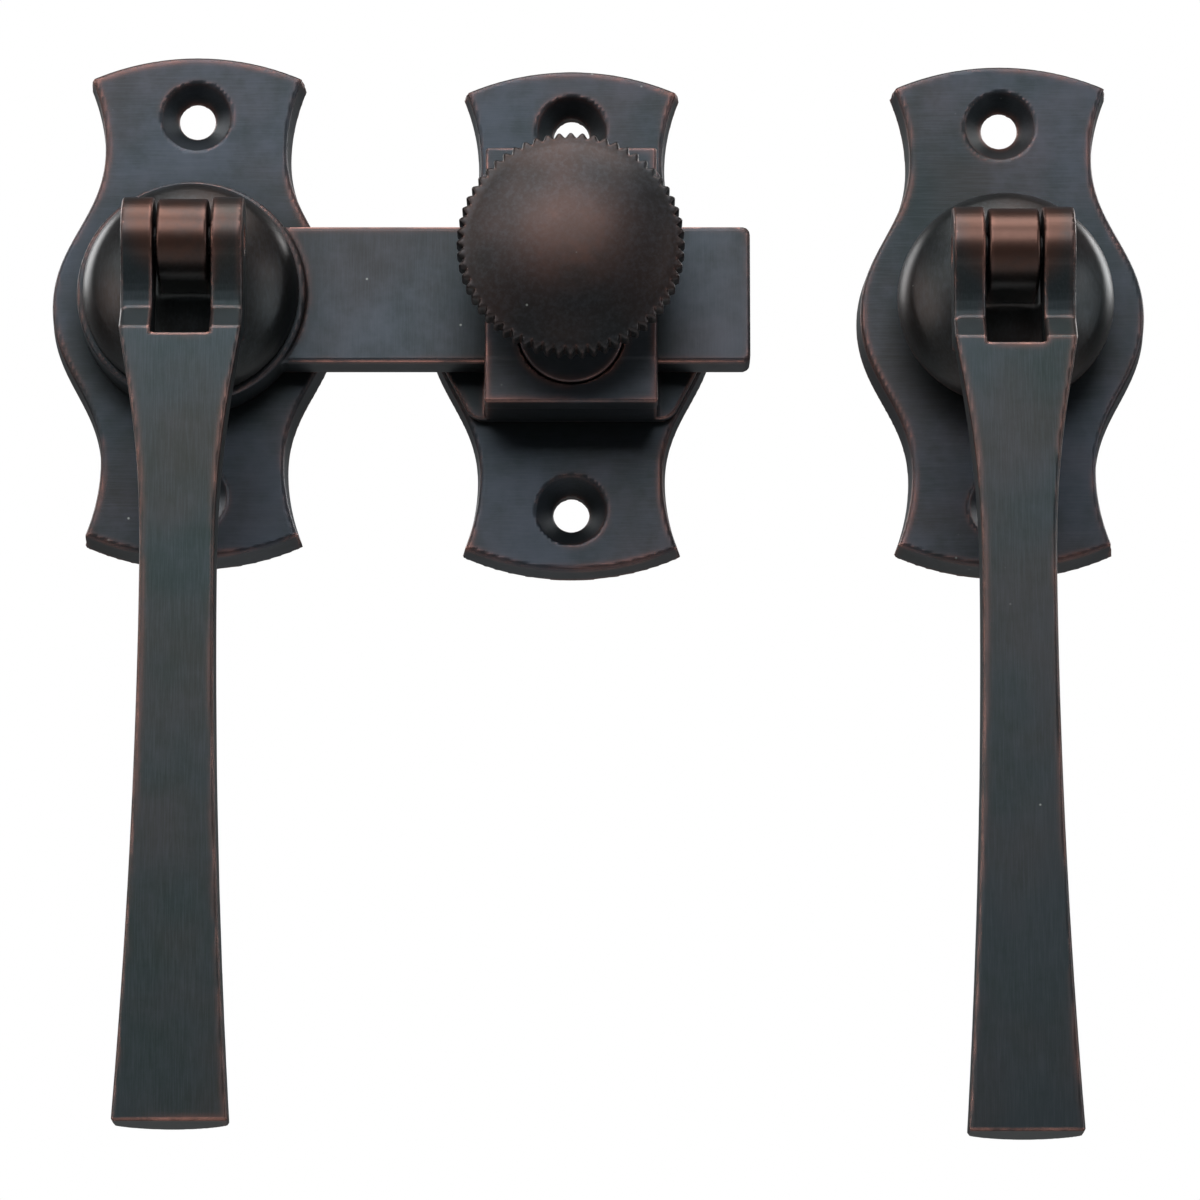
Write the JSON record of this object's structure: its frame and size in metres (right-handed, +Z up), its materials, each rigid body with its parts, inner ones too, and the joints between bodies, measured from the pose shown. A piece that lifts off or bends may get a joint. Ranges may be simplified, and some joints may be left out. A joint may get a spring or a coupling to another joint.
{
  "type": "toggle bolt latch",
  "caption": "Toggle bolt latch with a swinging bar on a waisted plate, a hook keeper with a knurled lock knob, and a separate outside lever handle with a square spindle.",
  "frame": {"origin": "the inside latch's spindle axis, where it meets the plane of the door's face", "axes": "+X along the bar from the latch to the keeper, +Y into the door, +Z up; the fronts face -Y"},
  "size_m": [0.1245, 0.0766, 0.1274],
  "materials": {
    "dark_bronze": "oil-rubbed dark bronze over solid brass, satin, copper showing at worn edges",
    "warm_bronze": "oil-rubbed bronze over solid brass, warmer and more rubbed",
    "pin_steel": "plain turned steel",
    "spring_steel": "bright spring steel"
  },
  "bodies": {
    "plates": {"latch_plate": "dark_bronze", "latch_washer": "spring_steel", "latch_spring_washer": "spring_steel", "keeper_plate": "dark_bronze", "keeper_hook": "dark_bronze", "keeper_rivet_lower_left": "pin_steel", "keeper_rivet_lower_right": "pin_steel", "keeper_rivet_upper_left": "pin_steel", "keeper_rivet_upper_right": "pin_steel", "lock_bush": "dark_bronze", "outer_plate": "dark_bronze", "outer_washer": "spring_steel", "outer_spring_washer": "spring_steel"},
    "latch_turning": {"latch_hub": "warm_bronze", "latch_bar": "dark_bronze", "latch_retaining_ring": "spring_steel"},
    "latch_grip": {"latch_lever": "dark_bronze", "latch_hinge_pin": "warm_bronze"},
    "outer_turning": {"outer_hub": "warm_bronze", "outer_spacer": "dark_bronze", "outer_retaining_ring": "spring_steel", "spindle": "pin_steel", "spindle_pin": "pin_steel"},
    "outer_grip": {"outer_lever": "dark_bronze", "outer_hinge_pin": "warm_bronze"},
    "lock_shoe": {"clamp_shoe": "pin_steel"},
    "lock_turning": {"lock_knob": "warm_bronze", "lock_screw": "pin_steel"}
  },
  "joints": [
    {"name": "latch_turn", "type": "hinge", "parent": "plates", "child": "latch_turning", "pos_m": [0, 0, 0], "axis": [0, -1, 0], "range_deg": [0, 55]},
    {"name": "latch_tilt", "type": "hinge", "parent": "latch_turning", "child": "latch_grip", "pos_m": [0, -0.0264, 0.002], "axis": [-1, 0, 0], "range_deg": [0, 180]},
    {"name": "outer_turn", "type": "hinge", "parent": "plates", "child": "outer_turning", "pos_m": [0.0917, 0, -0.0011], "axis": [0, -1, 0], "range_deg": [0, 55]},
    {"name": "outer_tilt", "type": "hinge", "parent": "outer_turning", "child": "outer_grip", "pos_m": [0.0917, -0.0264, 0.0009], "axis": [-1, 0, 0], "range_deg": [0, 180]},
    {"name": "shoe_slide", "type": "slide", "parent": "plates", "child": "lock_shoe", "axis": [0, -1, 0], "range_m": [0, 0.00105]},
    {"name": "knob_turn", "type": "hinge", "parent": "lock_shoe", "child": "lock_turning", "pos_m": [0.0428, -0.022, 0.00235], "axis": [0, -1, 0], "range_deg": [0, 540]}
  ],
  "couplings": [
    {"joint": "knob_turn", "follows": "shoe_slide", "rad_per_m": 8976}
  ]
}
